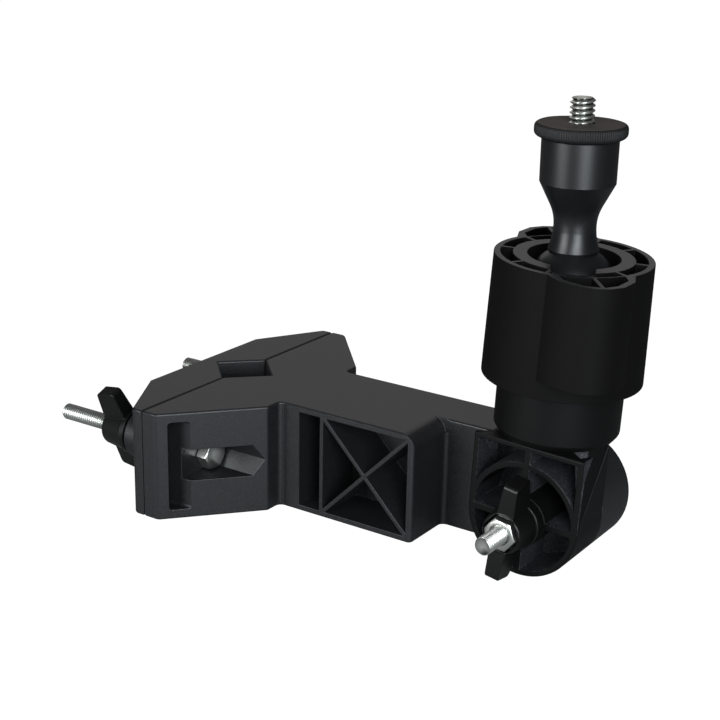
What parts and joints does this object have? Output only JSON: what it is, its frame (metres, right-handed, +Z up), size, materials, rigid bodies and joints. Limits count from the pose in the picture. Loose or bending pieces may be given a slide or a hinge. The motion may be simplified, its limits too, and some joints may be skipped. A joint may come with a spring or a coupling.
{
  "type": "trail camera mount",
  "caption": "Two-jaw post clamp with a ribbed arm, a tilting knuckle with a wing knob and a locking ball head that ends in a rubber pad and a threaded camera stud.",
  "frame": {"origin": "on the axis of the clamped post, at the clamp's underside", "axes": "+X along the arm from the clamp to the ball head, +Z up along the post and the camera stud, -Y to the side of the hinge's wing knob"},
  "size_m": [0.1761, 0.092, 0.1245],
  "materials": {
    "moulded_black": "moulded, fine grain",
    "collar_black": "moulded, smooth satin",
    "stem_black": "moulded, smooth satin",
    "knob_black": "moulded, smooth",
    "rubber_black": "matte, ribbed edge",
    "zinc_steel": "bright zinc plated"
  },
  "bodies": {
    "root": {"clamp_body": "moulded_black", "clamp_bolt_front": "zinc_steel", "clamp_bolt_rear": "zinc_steel", "hinge_bolt": "zinc_steel"},
    "jaw": {"clamp_jaw": "moulded_black", "clamp_washer_front": "zinc_steel", "clamp_washer_rear": "zinc_steel"},
    "front_knob": {"clamp_knob_front": "knob_black", "clamp_nut_front": "zinc_steel"},
    "rear_knob": {"clamp_knob_rear": "knob_black", "clamp_nut_rear": "zinc_steel"},
    "hinge_thrust": {"hinge_washer": "zinc_steel"},
    "hinge_wing": {"hinge_knob": "knob_black", "hinge_nut": "zinc_steel"},
    "tilt_head": {"tilt_base": "moulded_black"},
    "collar": {"locking_collar": "collar_black"},
    "swivel": {"ball_seat": "stem_black"},
    "stem": {"ball_stem": "stem_black", "camera_pad": "rubber_black", "camera_stud": "zinc_steel"}
  },
  "joints": [
    {"name": "front_knob_turn", "type": "hinge", "parent": "jaw", "child": "front_knob", "pos_m": [-0.0184, -0.028, 0.016], "axis": [-1, 0, 0], "range_deg": [0, 7920]},
    {"name": "jaw_slide", "type": "slide", "parent": "root", "child": "jaw", "axis": [-1, 0, 0], "range_m": [0, 0.0176]},
    {"name": "rear_knob_turn", "type": "hinge", "parent": "jaw", "child": "rear_knob", "pos_m": [-0.0184, 0.028, 0.016], "axis": [-1, 0, 0], "range_deg": [0, 7920]},
    {"name": "hinge_knob_turn", "type": "hinge", "parent": "hinge_thrust", "child": "hinge_wing", "pos_m": [0.104, -0.01675, 0.016], "axis": [0, -1, 0], "range_deg": [0, 3600]},
    {"name": "hinge_thrust_slide", "type": "slide", "parent": "root", "child": "hinge_thrust", "axis": [0, -1, 0], "range_m": [0, 0.008]},
    {"name": "arm_tilt", "type": "hinge", "parent": "root", "child": "tilt_head", "pos_m": [0.104, 0, 0.016], "axis": [0, 1, 0], "range_deg": [-17, 192]},
    {"name": "collar_turn", "type": "hinge", "parent": "tilt_head", "child": "collar", "pos_m": [0.10659, 0, 0.07524], "axis": [0.0436, 0, 0.999], "range_deg": [0, 360]},
    {"name": "ball_swivel", "type": "hinge", "parent": "tilt_head", "child": "swivel", "pos_m": [0.10659, 0, 0.07524], "axis": [0.0436, 0, 0.999], "continuous": true},
    {"name": "ball_tilt", "type": "hinge", "parent": "swivel", "child": "stem", "pos_m": [0.10659, 0, 0.07524], "axis": [0, 1, 0], "range_deg": [-25.5, 30.5]}
  ],
  "couplings": [
    {"joint": "jaw_slide", "follows": "front_knob_turn", "m_per_rad": 0.00012732},
    {"joint": "rear_knob_turn", "follows": "front_knob_turn", "ratio": 1},
    {"joint": "hinge_thrust_slide", "follows": "hinge_knob_turn", "m_per_rad": 0.00012732}
  ]
}
